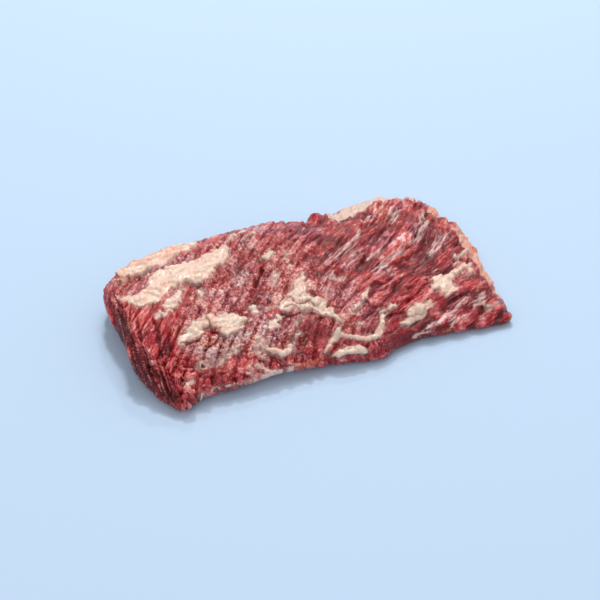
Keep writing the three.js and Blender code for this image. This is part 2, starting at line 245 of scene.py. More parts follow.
# Fine patterns and fat are read as if the wall were folded out flat, so that they don't smear down it
fold_out = below_crown * np.where(loop_sheer > 0, FOLD_OUT["sheer"], FOLD_OUT["front"])
spread = places[:, :2].copy()
spread[face_count:] += (loop_out[None] * fold_out[:, :, None]).reshape(-1, 2)
sheer = np.concatenate([np.zeros(face_count), np.tile(loop_sheer, len(rows))])

# The relief keeps its full height on the face and half of it at the widest point of the wall, and fades
# out as the slab turns in under itself
wall_share = np.arange(1, WALL_ROWS + 1) / WALL_ROWS
under_share = np.arange(1, UNDER_ROWS + 2) / UNDER_ROWS
row_relief = np.concatenate([1 - 0.5 * wall_share**4, 0.5 * (1 - under_share).clip(0)])
relief_share = np.concatenate([np.ones(face_count), np.repeat(row_relief, size)])


# The grain and relief of the meat
# Bundles of muscle fibre fan across the slab, each about 45 long and 9 wide, and part in grooves.
# The left and middle of the top are torn to grains, the right keeps its long glossy strands,
# and along the back the bundles are pressed flat.

BUNDLE = {"length": 45, "width": 9, "groove": 1.5, "uneven": 1.1, "groove_share": 0.34}
GRAIN = {"left_slope": 1.25, "right_slope": 0.5, "turn_from": -25, "turn_to": 50, "fan": 0.0055, "axis": 37}
BACK_PRESSED = {"from": 48, "to": 58, "left": 10, "right": 30, "share": 0.7}
WANDER = {"amount": 2.2, "along": 34, "across": 13}
HUMMOCK = {"height": 0.9, "size": 24}
WALL_RELIEF = {"deeper": 0.6, "from": 2, "to": 8}
STRAND = {"length": 40, "width": 3.9, "groove": 1.1, "uneven": 1.0, "groove_share": 0.3, "elsewhere": 0.15}
THREAD = {"length": 15, "width": 1.5, "groove": 0.35, "uneven": 0.4, "groove_share": 0.5}
GRANULE = {"size": 2.3, "height": 0.75, "uneven": 0.5, "fades": (42, 54)}
CRUMB = {"long": 7.5, "wide": 4.2, "height": 1.8, "uneven": 2.0}
LEAF = {"tall": 20, "wide": 5.6, "height": 3.0, "groove": 1.6}
BEAD = {"size": 4.2, "height": 1.6}

# Where each pattern starts in the scatter of numbers
SEED = {
    "bundles": 3, "wander": 11, "hummocks": 17, "strands": 23, "threads": 29, "granules": 31,
    "crumbs": 37, "leaves": 71, "beads": 97, "parts": 47, "strength": 63, "patches": 65,
    "wobble": 61, "sideways": 62, "torn fibres": 47, "torn fibres, fine": 48, "ragged": 83,
    "pads, x": 41, "pads, y": 44, "pads, edge": 50, "crumbled fat": 53,
    "lines, x": 55, "lines, y": 56, "lines, edge": 57,
    "swell": 73, "dimples": 79, "cracks": 89, "lobes": 101,
}

# Furrows are depth, width and path; knobs are height and path, and rise across the path's edge from
# the first distance of ROUND_SHOULDER, outside it, to the second, inside it
FURROWS = [
    (2.2, 3.2, [(-62, 14), (-72, -2), (-82, -10), (-88, -27)]),
    (1.6, 1.6, [(-62, -14), (-61, -22), (-57, -25)]),
    (1.6, 2.8, [(-20, 16), (-20, 9), (-29, -2)]),
    (2.0, 3.2, [(99, 25), (83, 11), (66, 0), (46, -11)]),
    (2.2, 2.4, [(-98, 33), (-89, 30), (-78, 37), (-64, 43)]),
]
KNOBS = [
    (5.5, [(35, 64, 4.5), (43, 67, 4.5)]),
]
ROUND_SHOULDER = (1.6, -3.2)


def scatter(i, j, seed):
    """A fixed scatter of whole numbers over 0 to 1: the fraction of a large multiple of a sine."""
    wave = np.sin(i * 127.1 + j * 311.7 + seed * 74.7) * 43758.5453
    return wave - np.floor(wave)


def unevenness(x, y, seed):
    """Smooth bumps and hollows from -1 to 1, one for each unit: scattered corner values, eased between."""
    i, j = np.floor(x), np.floor(y)
    across, up = smooth_step(0, 1, x - i), smooth_step(0, 1, y - j)
    low = mix(scatter(i, j, seed), scatter(i + 1, j, seed), across)
    high = mix(scatter(i, j + 1, seed), scatter(i + 1, j + 1, seed), across)
    return 2 * mix(low, high, up) - 1


def rough(x, y, seed, layers=3):
    """Unevenness at several sizes, each turned by a radian, half as wide and 0.6 as high as the last."""
    total, height = 0.0, 1.0
    for layer in range(layers):
        total = total + height * unevenness(x, y, seed + layer)
        x, y = 2 * (x * 0.54 - y * 0.84), 2 * (x * 0.84 + y * 0.54)
        height *= 0.6
    return total


def cell(x, y, seed):
    """Cells round scattered centres: how much further the next centre is than the nearest one, and the
    cell's own value."""
    column, row = np.floor(x), np.floor(y)
    nearest, following = np.full(x.shape, 9.0), np.full(x.shape, 9.0)
    own = np.zeros(x.shape)
    for across in (-1, 0, 1):
        for up in (-1, 0, 1):
            i, j = column + across, row + up
            gap = np.hypot(i + scatter(i, j, seed) - x, j + scatter(i, j, seed + 1) - y)
            closer = gap < nearest
            following = np.where(closer, nearest, np.minimum(following, gap))
            own = np.where(closer, scatter(i, j, seed + 2), own)
            nearest = np.where(closer, gap, nearest)
    return following - nearest, own


def groove_at(gap, share):
    """1 on the border between two cells, and 0 from a share of the way into them."""
    return 1 - smooth_step(0, share, gap)


def distance_to_path(path, x, y):
    """Distance from each point to the nearest stretch of a path, less the half-width that it has there."""
    best = np.full(x.shape, 1e9)
    for start, end in zip(path[:-1], path[1:]):
        (ax, ay, a_width), (bx, by, b_width) = (*start, 0)[:3], (*end, 0)[:3]
        dx, dy = bx - ax, by - ay
        share = np.clip(((x - ax) * dx + (y - ay) * dy) / (dx * dx + dy * dy), 0, 1)
        gap = np.hypot(x - mix(ax, bx, share), y - mix(ay, by, share))
        best = np.minimum(best, gap - mix(a_width, b_width, share))
    return best


def turned_length(x):
    """Length over which the fibres have turned on the way to x: the running total of an eased share."""
    reach = GRAIN["turn_to"] - GRAIN["turn_from"]
    share = np.clip((x - GRAIN["turn_from"]) / reach, 0, 1)
    return reach * (share**3 - share**4 / 2) + np.maximum(0, x - GRAIN["turn_to"])


def grain_at(x, y):
    """How far along its bundle a point is, and how far across the bundles, which fan out and wander."""
    axis = math.radians(GRAIN["axis"])
    along = x * math.cos(axis) + y * math.sin(axis)
    turned = turned_length(x)
    rise = GRAIN["left_slope"] * x - (GRAIN["left_slope"] - GRAIN["right_slope"]) * turned
    across = y * np.exp(-GRAIN["fan"] * turned) - rise
    wander = unevenness(along / WANDER["along"], across / WANDER["across"], SEED["wander"])
    return along, across + WANDER["amount"] * wander


def zones(x, y, depth):
    """Shares from 0 to 1 of the parts of the slab: stringy right, cut left wall, torn corner and front,
    and the fringe down the right end and the back right flank."""
    streaky = smooth_step(-6, 40, x + 0.35 * y + 10 * unevenness(x / 14, y / 14, SEED["parts"]))
    folded = smooth_step(-72, -80, x) * smooth_step(18, 8, y) * smooth_step(-46, -36, y)
    streaky = np.maximum(streaky, 0.8 * folded)
    left_wall = smooth_step(2, 6, depth) * smooth_step(-84, -92, x) * smooth_step(-58, -46, y)
    corner = smooth_step(32, 17, np.hypot(x + 92, y + 52))
    front = smooth_step(-38, -47, y) * (1 - smooth_step(22, 44, x))
    high = 3.4 * smooth_step(-10, 8, y) * smooth_step(62, 44, y)
    fringe = smooth_step(2.4 - high, 4.6 - high, depth)
    fringe = fringe * smooth_step(102, 107, x) * smooth_step(-46, -30, y)
    fringe = np.maximum(fringe, smooth_step(1, 3, depth) * smooth_step(62, 66, y) * smooth_step(38, 46, x))
    return streaky, left_wall, np.maximum(corner, 0.75 * front) * (1 - left_wall), fringe


def bundle_form(x, y, depth, run, across):
    """The larger form: each bundle at a height of its own, parted from the next by a groove, deeper on the
    walls and pressed flat along the back, plus hummocks, furrows and knobs; with the groove and the bundle's
    own tone."""
    gap, own = cell(run / BUNDLE["length"], across / BUNDLE["width"], SEED["bundles"])
    groove = groove_at(gap, BUNDLE["groove_share"])
    deeper = 1 + WALL_RELIEF["deeper"] * smooth_step(WALL_RELIEF["from"], WALL_RELIEF["to"], depth)
    form = (BUNDLE["uneven"] * (own - 0.5) - BUNDLE["groove"] * groove) * deeper
    pressed = smooth_step(BACK_PRESSED["from"], BACK_PRESSED["to"], y)
    pressed = pressed * smooth_step(BACK_PRESSED["right"], BACK_PRESSED["left"], x)
    form = form * (1 - BACK_PRESSED["share"] * pressed)
    form += HUMMOCK["height"] * unevenness(x / HUMMOCK["size"], y / HUMMOCK["size"], SEED["hummocks"])
    for furrow_depth, width, path in FURROWS:
        form -= furrow_depth * np.exp(-((distance_to_path(path, x, y) / width) ** 2))
    for height, path in KNOBS:
        form += height * smooth_step(*ROUND_SHOULDER, distance_to_path(path, x, y))
    return form, groove, own - 0.5


def meat_texture(run, across, depth, y, near_x, near_y, wobble, sideways, bundle_tone):
    """What the torn surface shows: strands and threads where it is stringy, granules where it is not, crumbs
    on the torn front, leaves on the cut left wall and beads along the fringe, each a field of cells with
    heights of their own and grooves between; with the tone of each cell and the painted shade of the grooves."""
    streaky, left_wall, crumbly, fringe = zones(near_x, near_y, depth)

    strong = 0.75 + 0.5 * unevenness(near_x / 9, near_y / 9, SEED["strength"])
    strong = strong * streaky * (1 - 0.6 * crumbly)
    gap, own = cell(run / STRAND["length"], (across + wobble) / STRAND["width"], SEED["strands"])
    groove = groove_at(gap, STRAND["groove_share"])
    faint = STRAND["elsewhere"] * (1 - left_wall)
    fine = (faint + strong) * (STRAND["uneven"] * (own - 0.5) - STRAND["groove"] * groove)
    tone = 0.45 * streaky * (bundle_tone + own - 0.5)
    hollow = 0.7 * strong * groove
    gap, own = cell(run / THREAD["length"], (across + 1.4 * wobble) / THREAD["width"], SEED["threads"])
    groove = groove_at(gap, THREAD["groove_share"])
    fine += strong * (THREAD["uneven"] * (own - 0.5) - THREAD["groove"] * groove)
    hollow += 0.3 * groove * strong

    size = GRANULE["size"]
    gap, own = cell((near_x + 1.3 * wobble) / size, (near_y + 1.3 * sideways) / size, SEED["granules"])
    lumps = GRANULE["height"] * (smooth_step(0, 0.45, gap) - 0.6) + GRANULE["uneven"] * (own - 0.5)
    patchy = 0.8 + 0.4 * unevenness(near_x / 7, near_y / 7, SEED["patches"])
    granular = (1 - 0.85 * streaky) * (1 - 0.7 * left_wall) * patchy
    granular = granular * (1 - 0.7 * crumbly) * (1 - 0.75 * smooth_step(*GRANULE["fades"], near_y))
    fine += granular * lumps
    hollow += 0.35 * granular * (1 - smooth_step(0.05, 0.3, gap))
    tone += 0.45 * granular * (own - 0.5) + 0.3 * (1 - streaky) * bundle_tone

    crumb_x, crumb_y = (near_x + 2 * wobble) / CRUMB["long"], (near_y + 2 * sideways) / CRUMB["wide"]
    gap, own = cell(crumb_x, crumb_y, SEED["crumbs"])
    fine += crumbly * (CRUMB["height"] * (smooth_step(0, 0.5, gap) - 0.7) + CRUMB["uneven"] * (own - 0.5))
    hollow += 0.8 * crumbly * groove_at(gap, 0.24)
    tone = mix(tone, 0.7 * (own - 0.5), 0.9 * crumbly)

    leaf_down, leaf_along = (depth + 3 * wobble) / LEAF["tall"], (y + 1.2 * wobble) / LEAF["wide"]
    gap, own = cell(leaf_down, leaf_along, SEED["leaves"])
    fine += left_wall * (LEAF["height"] * (own - 0.4) - LEAF["groove"] * groove_at(gap, 0.4))
    hollow += left_wall * groove_at(gap, 0.3)
    tone = mix(tone, 0.8 * (own - 0.5), left_wall)

    gap, own = cell(near_x / BEAD["size"], near_y / BEAD["size"], SEED["beads"])
    fine += fringe * BEAD["height"] * (0.6 * smooth_step(0, 0.5, gap) + own - 0.9)
    return fine, tone, hollow, streaky, fringe


# The fat left on it
# Soft cream fat lies on the muscle in thin pads, torn along their edges into lobes and threads,
# and in thin lines where the knife opened a seam. Paths are x, y and half the width;
# a pad has its rise over the muscle first.

LOBE = {"long": 10, "wide": 7, "height": 1.3, "sunk": 0.35, "uneven": 0.8, "dimple": 0.12}
CRACKED_MIDDLE = (-4, -14)
LINE_RISE = 0.5

FAT_PADS = {
    "far left slab, left end": (1.1, [
        (-99, 16, 2.2), (-95, 15, 3.4), (-92, 11, 4), (-88, 10, 6), (-83, 13, 6),
    ]),
    "far left slab": (1.7, [
        (-83, 13, 6), (-79, 16, 7), (-72, 25, 8), (-63, 24, 9.5), (-55, 23, 9.5), (-46, 29, 7.5),
        (-37, 33, 5.5), (-33, 37, 3),
    ]),
    "lobe below the slab": (0.7, [(-79, 3, 1.5), (-76, 2, 2.6), (-71, 6, 3), (-68, 11, 2)]),
    "back left flap": (1.9, [
        (-94, 36, 2.5), (-88, 40, 4), (-82, 40, 4.5), (-76, 42, 4), (-70, 41, 3.5), (-64, 45, 3.5),
        (-57, 48, 3.5), (-48, 50, 2.2),
    ]),
    "its outer edge": (1.2, [(-93, 42, 2.5), (-84, 46, 4), (-74, 48, 4), (-64, 52, 3.5), (-54, 55, 2.5)]),
    "front left pad": (0.9, [(-78, -23, 2), (-73, -21, 3.5), (-68, -18, 4.5), (-62, -14, 3)]),
    "front left pad beside it": (1.3, [
        (-59, -12, 2), (-58, -16, 3.5), (-54, -18, 5), (-49, -19, 5), (-44, -20, 3),
    ]),
    "its lower edge": (1, [(-56, -24, 2), (-52, -24, 2.5), (-47, -23, 2.5)]),
    "middle pad": (1.1, [(-18, -17, 3), (-12, -15, 4.5), (-7, -11, 5), (-2, -3, 2.5), (0, 2, 1)]),
    "middle pad, right lobe": (1.2, [
        (-9, -19, 4), (-4, -19, 4.5), (1, -22, 4.5), (2, -25, 3), (5, -30, 2.2), (8, -35, 1),
    ]),
    "bit left of the middle": (0.8, [(-36, -13, 1.2), (-34, -17, 1.9)]),
    "bit below it": (0.7, [(-33, -28, 0.8), (-30, -28, 1.4), (-27, -26, 2.4), (-23, -23, 1.2)]),
    "curl": (1.8, [
        (-38, -35, 1.6), (-38, -37, 1.9), (-36, -38, 2), (-33, -39, 1.9), (-30, -41, 1.9), (-29, -43, 2.1),
        (-25, -42, 1.9), (-23, -39, 1.5),
    ]),
    "branch": (1, [
        (5, -39, 1.5), (1, -42, 1.2), (6, -41, 1.3), (10, -43, 1.3), (14, -45, 1.6), (18, -47, 1.8),
        (22, -47, 1.9), (26, -46, 1.7), (30, -42, 1.4),
    ]),
    "branch's tip": (0.5, [(30, -42, 1.2), (34, -34, 0.8), (37, -33, 0.7), (42, -31, 0.6)]),
    "branch's root": (0.6, [(1, -42, 1.4), (-3, -45, 1), (-6, -48, 0.8)]),
    "tongue": (1.3, [(-2, -52, 0.8), (1, -52, 2.2), (7, -51, 2.4), (12, -52, 2.8), (15, -54, 2)]),
    "hook": (1.2, [
        (71, -25, 2.4), (75, -21, 3.4), (81, -19, 2.2), (87, -16, 1.8), (92, -14, 2.3), (99, -9, 2),
        (99, -14, 1.4),
    ]),
    "hook's body": (1.3, [(71, -25, 3), (78, -24, 4), (80, -27, 3.2)]),
    "hook's foot": (1.2, [(73, -25, 2.5), (75, -29, 3.4), (80, -28, 2.4)]),
    "strip": (1, [(43, -42, 1.4), (45, -42, 2), (51, -38, 2.8), (55, -37, 2.9), (62, -35, 1.6)]),
}
FAT_LINES = [
    [
        (-76, -53, 0.5), (-69, -52, 0.6), (-61, -52, 0.6), (-53, -53, 0.6), (-46, -53, 0.9),
        (-41, -53, 1.3), (-36, -53, 1.3), (-30, -53, 0.9), (-26, -53, 0.4),
    ],
    [(-87, -5, 0.8), (-83, -3, 1.4), (-78, -2, 1)],
    [(-58, 7, 2), (-57, 3, 1.3)],
    [(-30, -15, 0.5), (-26, -16, 0.8), (-21, -17, 0.6)],
    [(-18, -33, 0.6), (-15, -29, 0.8), (-10, -26, 0.5)],
    [(-24, -40, 0.7), (-19, -36, 0.8), (-15, -35, 0.5)],
    [(15, -31, 1.2), (19, -32, 1.1), (21, -34, 0.7)],
    [(17, -30, 0.5), (23, -27, 1), (28, -22, 1), (33, -16, 0.5)],
    [(93, -40, 0.6), (95, -43, 0.9), (95, -45, 0.7)],
    [(95, -46, 0.8), (98, -45, 0.7), (102, -43, 0.5)],
    [(92, 39, 0.5), (96, 42, 0.9), (99, 48, 0.5)],
    [(91, -6, 0.6), (95, -6, 0.9), (99, -7, 0.6)],
    [(95, -2, 0.8), (102, 1, 1.4), (108, 4, 1)],
    [(-27, 47, 0.8), (-20, 53, 1.1), (-14, 56, 0.6)],
    [(-13, 50, 0.9), (-8, 51, 0.9), (-3, 52, 0.5)],
    [(-13, 23, 2), (-9, 26, 1.5)],
    [(-4, 17, 0.8), (0, 25, 0.7)],
    [(-18, -1, 0.8), (-15, 5, 0.9), (-11, 11, 0.5)],
    [(-65, -37, 0.6), (-61, -37, 1), (-56, -36, 1.1), (-52, -35, 1.2), (-50, -33, 0.7)],
    [(-76, -38, 0.5), (-72, -38, 0.8), (-68, -37, 0.5)],
    [(-85, -47, 0.8), (-82, -45, 1.6), (-80, -45, 1.2)],
    [(-50, -45, 0.6), (-48, -48, 0.9), (-46, -52, 0.8)],
    [(-44, -45, 1.3), (-42, -47, 1.7), (-40, -51, 1.2)],
    [(-42, -37, 0.6), (-40, -41, 0.8), (-38, -44, 0.6)],
    [(-32, -47, 0.6), (-28, -50, 0.8), (-23, -53, 0.6)],
    [(15, -40, 0.5), (18, -39, 0.8), (20, -40, 0.6)],
]
CRUMBLED_FAT = [
    [(-35, -18, 4), (-30, -22, 5), (-24, -21, 4)],
    [(-34, -34, 2), (-25, -44, 2), (-13, -44, 2)],
]


def nearest_of(paths, x, y):
    """Distance to the nearest of several paths."""
    return np.min([distance_to_path(path, x, y) for path in paths], 0)


def fat_distance(x, y, streaky, fibres):
    """Signed distance to the edge of the fat and its height: lobed by unevenness, frayed by the fibres where
    the meat is stringy, and crumbled where it was scraped."""
    torn = 1 - 0.7 * smooth_step(-30, -36, y)
    lobed_x = x + torn * rough(x / 5, y / 5, SEED["pads, x"])
    lobed_y = y + torn * rough(x / 5, y / 5, SEED["pads, y"])
    distance, height = np.full(x.shape, 1e9), np.zeros(x.shape)
    for rise, path in FAT_PADS.values():
        own = distance_to_path(path, lobed_x, lobed_y)
        height = np.where(own < distance, rise, height)
        distance = np.minimum(own, distance)
    fray = (0.25 + 0.75 * streaky) * fibres
    distance = distance + fray * smooth_step(-4, 1, distance)
    distance = distance + 1.1 * torn * rough(x / 2.4, y / 2.4, SEED["pads, edge"])
    line_x, line_y = x + rough(x / 3, y / 3, SEED["lines, x"]), y + rough(x / 3, y / 3, SEED["lines, y"])
    lines = nearest_of(FAT_LINES, line_x, line_y) + 0.4 * fray
    lines = lines + 0.25 + 0.5 * rough(x / 1.7, y / 1.7, SEED["lines, edge"])
    crumbled = np.maximum(0, nearest_of(CRUMBLED_FAT, x, y) + 2)
    crumbs = 0.9 - 2.6 * (rough(x / 2.6, y / 2.6, SEED["crumbled fat"]) - 0.5) + crumbled * 0.6
    height = np.where(np.minimum(lines, crumbs) < distance, LINE_RISE, height)
    return np.minimum(np.minimum(distance, lines), crumbs), height


def fat_swell(near_x, near_y, wobble, sideways, inside):
    """Soft fat swells in lobes: cells with round tops plus unevenness, and cracks along their borders; the
    middle pad is cracked finer."""
    cracked = smooth_step(17, 10, np.hypot(near_x - CRACKED_MIDDLE[0], near_y - CRACKED_MIDDLE[1]))
    gap = cell((near_x + wobble) / 4, (near_y + sideways) / 3.2, SEED["cracks"])[0]
    crack = groove_at(gap, 0.16) * cracked
    lobe_x, lobe_y = (near_x + 2.5 * wobble) / LOBE["long"], (near_y + 2.5 * sideways) / LOBE["wide"]
    lobe = cell(lobe_x, lobe_y, SEED["lobes"])[0]
    crack = np.maximum(crack, 0.6 * groove_at(lobe, 0.1)) * inside
    swell = LOBE["height"] * (smooth_step(0, 0.5, lobe) - 0.6) - LOBE["sunk"]
    swell += LOBE["uneven"] * unevenness(near_x / 9, near_y / 6.5, SEED["swell"])
    swell += LOBE["dimple"] * unevenness(near_x / 3.2, near_y / 3.2, SEED["dimples"])
    return swell, crack


# What the knife and the hand left
# Wet red meat shows in the troughs and on the torn front; thin creases, folds and pits get painted shade;
# a dried frosty bloom lies on the left and middle; silvery skin follows the grain, painted bright enough
# to stand for the sheen along the ridges too. Paths are x, y and half the width, creases and folds have no
# width of their own, and a pit is x and y.

FOLD_WIDTH = 0.9
CREASE_WIDTH = 0.6
PIT_RIM = (1.6, 0.5)
WET_RED = [
    [(-93, 0, 3), (-91, -3, 4), (-92, -10, 4), (-93, -17, 3), (-92, -22, 2.5)],
    [(-63, 13, 2), (-66, 8, 2), (-72, 0, 2), (-77, -5, 2), (-81, -8, 1.5)],
    [(-75, 12, 1), (-78, 9, 1.4), (-84, 6, 1.4)],
    [(-84, -13, 2), (-84, -22, 2.8), (-86, -31, 3), (-90, -36, 2.5)],
    [(-57, -40, 2.5), (-50, -40, 3.5), (-53, -47, 3.5), (-58, -52, 3), (-65, -51, 3)],
    [(-28, -46, 2), (-20, -47, 2.6), (-11, -47, 2.2)],
    [(-33, -52, 1.2), (-22, -53, 2.2), (-11, -54, 2.2), (-3, -53, 1.3)],
    [(-28, -20, 1.3), (-24, -19, 1.7)],
    [(98, 27, 1), (89, 19, 1.3), (81, 10, 1.4), (73, 6, 1.3), (67, 3, 1.3), (60, -2, 1)],
    [(79, -8, 1.2), (84, -1, 1.3)],
    [(79, -9, 0.8), (71, -19, 0.9)],
    [(27, -21, 1.3), (32, -14, 1.3), (37, -11, 0.8)],
    [(41, -40, 1.5), (52, -41, 1.8), (58, -39, 2.4), (64, -37, 2.6)],
    [(20, -54, 2.6), (24, -57, 2.6), (30, -57, 1.8)],
    [(33, -41, 1.8), (38, -41, 1.8), (41, -42, 1.6)],
    [(111, 17, 2.6), (117, 20, 2.2)],
    [(101, -47, 2.2), (104, -52, 2.2), (101, -56, 1.8)],
    [(29, 65, 2), (32, 65, 2.6), (35, 63, 2)],
    [(110, 30, 0.8), (110, 24, 1)],
    [(96, -26, 1.5), (100, -29, 2), (109, -27, 1.5)],
    [(93, 6, 2), (102, 12, 2.5), (114, 17, 2)],
    [(-59, 44, 1.5), (-50, 48, 2), (-41, 52, 2), (-34, 53, 1.5)],
    [(-47, 40, 1.2), (-42, 44, 1.4)],
    [(-28, 40, 1.2), (-24, 45, 1)],
    [(-98, 9, 2), (-98, -1, 2.5), (-99, -11, 2)],
]
AMBER = [
    [(-92, 46, 2), (-82, 50, 2.5), (-72, 52, 2.5), (-62, 55, 2)],
    [(-96, 36, 1.2), (-94, 37, 1.4), (-92, 34, 1)],
    [(-83, 43, 1.4), (-79, 44, 1.6), (-75, 43, 1.2)],
    [(-65, 45, 2.4), (-60, 50, 2.6), (-57, 48, 2)],
    [(-35, 50, 1.6), (-30, 55, 1.5), (-26, 56, 1)],
    [(-18, 57, 1), (-14, 57, 1.2), (-10, 56, 0.8)],
    [(38, 70, 1.6), (43, 69, 1.6)],
    [(65, -53, 1.2), (69, -52, 1)],
    [(-21, -53, 1.4), (-15, -53, 1.4), (-9, -53, 1)],
    [(-81, -52, 1.6), (-77, -50, 1.4)],
]
CREASES = [
    [(-96, 37), (-93, 34), (-90, 35)],
    [(-90, 35), (-84, 34), (-80, 33)],
    [(-61, -12), (-61, -18), (-61, -21), (-58, -24), (-55, -27)],
    [(-58, -25), (-62, -29), (-68, -31)],
    [(-80, -24), (-74, -25), (-69, -25)],
    [(-43, -40), (-42, -43), (-40, -45), (-38, -44)],
    [(-39, -37), (-35, -41), (-33, -45), (-32, -49)],
    [(-27, 3), (-24, 7), (-19, 15)],
    [(-20, -22), (-15, -25), (-8, -24), (-5, -26), (-3, -28)],
    [(-1, -30), (3, -31), (5, -33)],
    [(-17, -14), (-12, -12), (-11, -18), (-7, -19), (-4, -18), (-2, -23)],
    [(-18, -18), (-14, -18), (-12, -21), (-10, -23)],
    [(52, 34), (56, 31), (61, 34)],
    [(41, -42), (46, -44), (50, -42), (52, -41)],
    [(1, -54), (7, -54), (12, -55), (17, -57)],
    [(38, -14), (41, -14), (45, -14)],
    [(28, -24), (27, -31), (32, -31)],
]
FOLDS = [
    [(-97, -4), (-98, -12), (-101, -21), (-102, -26), (-107, -31), (-108, -35)],
    [(-106, -9), (-107, -20), (-109, -25)],
    [(-101, -24), (-104, -29), (-103, -38)],
    [(-103, 10), (-112, -2), (-110, -12)],
    [(-113, 20), (-120, 7), (-119, 0)],
    [(-98, -37), (-102, -48), (-100, -54)],
    [(-88, -5), (-88, -11), (-89, -18), (-91, -27)],
    [(-103, 28), (-104, 19), (-103, 10)],
]
PITS = [
    (-69, -46), (-38, 18), (-19, 15), (-3, 28), (11, 46), (0, 49), (-26, 6), (-24, -11), (68, -24),
    (-21, 43), (93, -42), (-51, -51),
]
# Silvery skin along the grain, painted bright enough to stand for the sheen along the ridges too
SILVER_AND_SHEEN = [
    [(18, 8, 1.3), (24, 18, 1.1)],
    [(25, 12, 1.3), (33, 19, 1.5), (39, 23, 1.5), (46, 29, 1.6), (52, 38, 1)],
    [(41, -4, 0.8), (45, -2, 1.1), (51, 2, 1.4), (55, 4, 1.4), (62, 7, 1.4), (68, 11, 1)],
    [(44, 8, 0.8), (51, 11, 1.2), (58, 15, 1), (63, 15, 0.7)],
    [(94, 35, 2), (86, 26, 1.8), (80, 18, 2), (74, 14, 1.2)],
    [(61, 50, 3), (68, 51, 2.2)],
    [(78, 48, 2.8), (83, 51, 3), (75, 42, 2)],
    [(12, -4, 1.4), (17, -3, 2), (19, -7, 2), (22, -6, 0.8)],
    [(3, -11, 0.5), (8, -10, 0.6), (8, -15, 0.5)],
    [(90, 13, 1.6), (97, 19, 2), (101, 22, 1.4)],
    [(82, 5, 1.4), (89, 10, 1.6)],
    [(85, -41, 1.4), (89, -40, 2.2), (95, -36, 1.7), (98, -33, 0.8)],
    [
        (48, -53, 0.7), (53, -51, 1.1), (59, -47, 1.3), (64, -45, 1), (70, -42, 1), (77, -39, 0.9),
        (82, -38, 0.8), (88, -34, 0.6),
    ],
    [(69, -49, 0.9), (73, -47, 1.5), (77, -46, 1.2), (81, -45, 0.6)],
]
FROST = [
    [(-33, 20, 2.5), (-31, 13, 5), (-36, 6, 3)],
    [(-23, 42, 1.5), (-20, 45, 2), (-14, 48, 1.2)],
    [(-20, 33, 1.2), (-15, 38, 1.4)],
    [(-27, -6, 2), (-24, -8, 3)],
    [(-78, -26, 2), (-72, -32, 3.5), (-64, -35, 3.5), (-55, -34, 2.5)],
    [(-56, -29, 2.5), (-49, -28, 3), (-42, -28, 2)],
    [(31, 5, 3), (42, 15, 3)],
    [(-79, 28, 2.5), (-73, 31, 2)],
    [(92, 10, 3), (98, 15, 4)],
    [(45, -6, 2), (51, -5, 3)],
]
SMOOTH = [
    [(-102, 33, 4), (-93, 28, 5), (-88, 26, 5), (-82, 24, 4)],
    [(-83, 18, 1.5), (-89, 18, 2)],
    [(-9, -33, 4), (-5, -37, 5), (-4, -42, 3.5)],
    [(67, -39, 4), (75, -41, 4), (82, -46, 4), (90, -51, 3)],
    [(53, -43, 2), (61, -39, 3), (65, -37, 2.5)],
    [(18, -38, 2.5), (24, -39, 3)],
    [(-21, -26, 3), (-18, -29, 3)],
    [(99, 6, 3), (91, 0, 2)],
    [(-56, 47, 2), (-44, 50, 3), (-30, 51, 2.5), (-14, 56, 2), (-3, 57, 1.5)],
    [(31, 65, 3), (37, 67, 3)],
]
ROLLS = [
    (1.5, [(-94, -3, 2.5), (-94, -10, 3), (-94, -17, 3)]),
    (1.2, [(-93, -24, 2.5), (-95, -31, 2.5)]),
]


def relief(x, y, depth, near_x, near_y):
    """Height of the surface over the plain slab, from where a point reads the bundles (x, y) and where it
    reads the fine patterns: the larger form plus the texture, both flatter under fat, plus the fat, less the
    creases, folds and pits; with the painted shade of its grooves, creases, folds and pits, the gap to the
    fat, the creases and cracks, painted as shade on the fat, and the tone."""
    along, across = grain_at(x, y)
    run = along + WALL_LEAN["break_up"] * depth
    form, groove, bundle_tone = bundle_form(x, y, depth, run, across)
    for height, path in ROLLS:
        form += height * smooth_step(*ROUND_SHOULDER, distance_to_path(path, near_x, near_y))

    wobble = rough(near_x / 5, near_y / 5, SEED["wobble"])
    sideways = rough(near_x / 5, near_y / 5, SEED["sideways"])
    smooth = 0.8 * smooth_step(1.5, -1.5, nearest_of(SMOOTH, near_x, near_y) + wobble)
    texture = meat_texture(run, across, depth, y, near_x, near_y, wobble, sideways, bundle_tone)
    fine, tone, hollow, streaky, fringe = texture

    fold = np.exp(-((nearest_of(FOLDS, near_x + 0.5 * wobble, near_y) / FOLD_WIDTH) ** 2))
    crease = np.exp(-((nearest_of(CREASES, near_x + 0.4 * wobble, near_y) / CREASE_WIDTH) ** 2))
    pit_and_shade = np.zeros(x.shape)
    for pit_x, pit_y in PITS:
        off = np.hypot(near_x + 0.6 * wobble - pit_x, (near_y - pit_y) * 0.7)
        pit_and_shade = np.maximum(pit_and_shade, smooth_step(*PIT_RIM, off))

    fibres = 0.9 * unevenness(along / 6, across / 1.4, SEED["torn fibres"])
    fibres += 0.5 * unevenness(along / 3, across / 0.8, SEED["torn fibres, fine"])
    distance, height = fat_distance(near_x, near_y, streaky, fibres)
    distance = distance + 3 * fringe
    inside = smooth_step(0.45, -0.9, distance)
    swell, crack = fat_swell(near_x, near_y, wobble, sideways, inside)

    total = (form + fine * (1 - smooth)) * (1 - 0.72 * inside) + inside * (height + swell)
    total -= 0.9 * crease + 1.5 * fold + 0.9 * pit_and_shade + 0.4 * crack
    hollow = (0.5 * groove + hollow) * (1 - 0.7 * smooth) + crease + fold + pit_and_shade
    return total, np.clip(hollow - 0.1, 0, 1), distance, np.maximum(crease, 0.8 * crack), tone


height, hollow, fat_gap, crease, tone = relief(*reading.T, depth, *spread.T)

